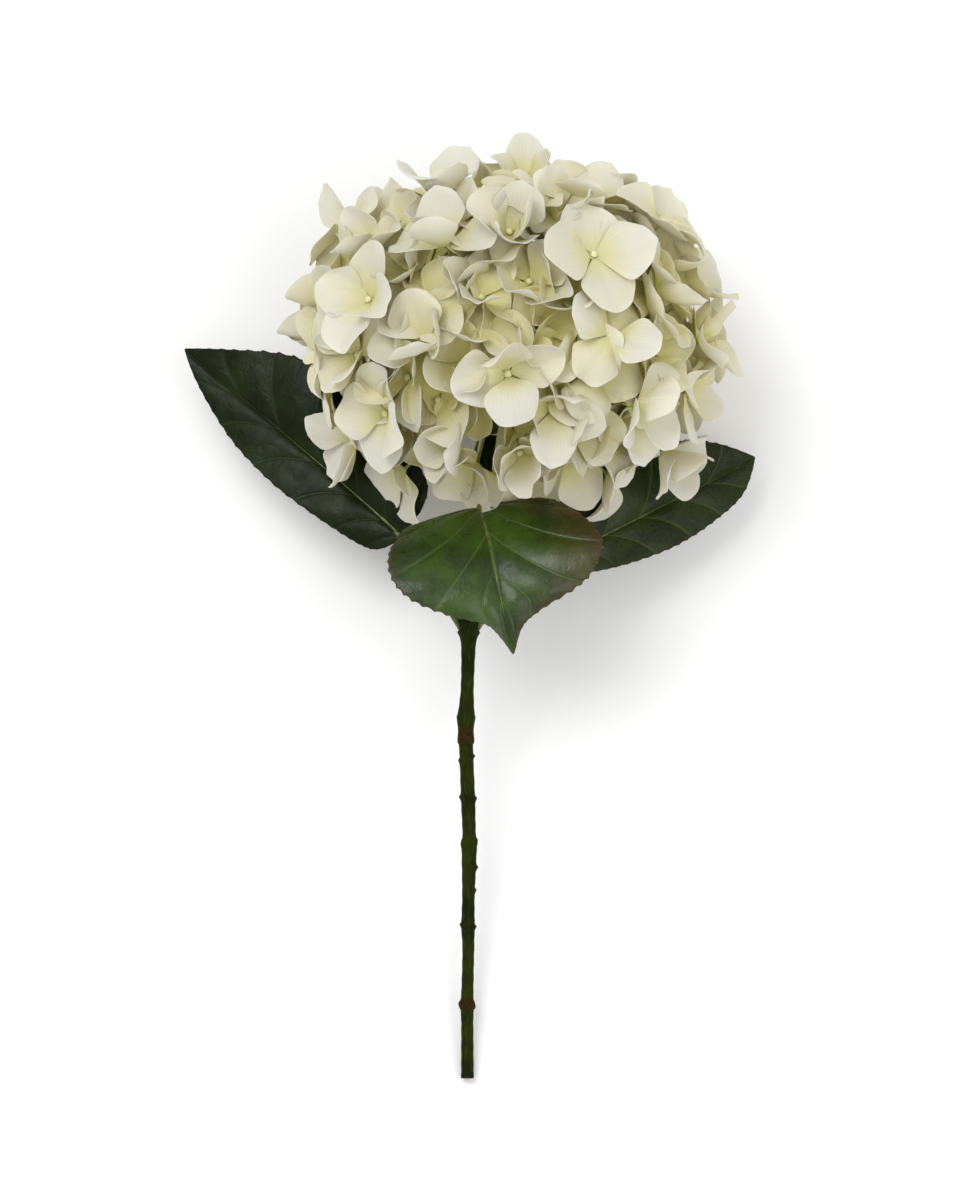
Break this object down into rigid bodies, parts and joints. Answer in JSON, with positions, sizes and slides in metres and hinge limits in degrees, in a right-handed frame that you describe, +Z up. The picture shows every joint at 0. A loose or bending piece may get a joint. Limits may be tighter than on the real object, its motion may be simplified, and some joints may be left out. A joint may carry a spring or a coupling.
{
  "type": "cut hydrangea",
  "caption": "Cut hydrangea lying on its side: round head of cream four-petalled florets, toothed dark green leaves and a knotted green stem.",
  "frame": {"origin": "centre of the bounding box's bottom, on the surface the flower lies on", "axes": "+Y along the lying stem from its cut end to the head, +Z up, away from the surface, so the side of the flower that faces up is its front, +X to the right as seen from above with the head at the far end"},
  "size_m": [0.2906, 0.4644, 0.1913],
  "materials": {
    "petal": "soft matt cream, yellow-green toward the eye, fine fan veins",
    "leaf": "satin dark green with paler veins, brown-red at the margin",
    "stem": "dull dark green, red-brown at the knuckles"
  },
  "bodies": {
    "root": {"stem": "stem", "crown": "stem", "leaf_left": "leaf", "leaf_right": "leaf", "leaf_front": "leaf", "floret_01": "petal", "floret_02": "petal", "floret_03": "petal", "floret_04": "petal", "floret_05": "petal", "floret_06": "petal", "floret_07": "petal", "floret_08": "petal", "floret_09": "petal", "floret_10": "petal", "floret_11": "petal", "floret_12": "petal", "floret_13": "petal", "floret_14": "petal", "floret_15": "petal", "floret_16": "petal", "floret_17": "petal", "floret_18": "petal", "floret_19": "petal", "floret_20": "petal", "floret_21": "petal", "floret_22": "petal", "floret_23": "petal", "floret_24": "petal", "floret_25": "petal", "floret_26": "petal", "floret_27": "petal", "floret_28": "petal", "floret_29": "petal", "floret_30": "petal", "floret_31": "petal", "floret_32": "petal", "floret_33": "petal", "floret_34": "petal", "floret_35": "petal", "floret_36": "petal", "floret_37": "petal", "floret_38": "petal", "floret_39": "petal", "floret_40": "petal", "floret_41": "petal", "floret_42": "petal", "floret_43": "petal", "floret_44": "petal", "floret_45": "petal", "floret_46": "petal", "floret_47": "petal", "floret_48": "petal", "floret_49": "petal", "floret_50": "petal", "floret_51": "petal", "floret_52": "petal", "floret_53": "petal", "floret_54": "petal"}
  },
  "joints": []
}
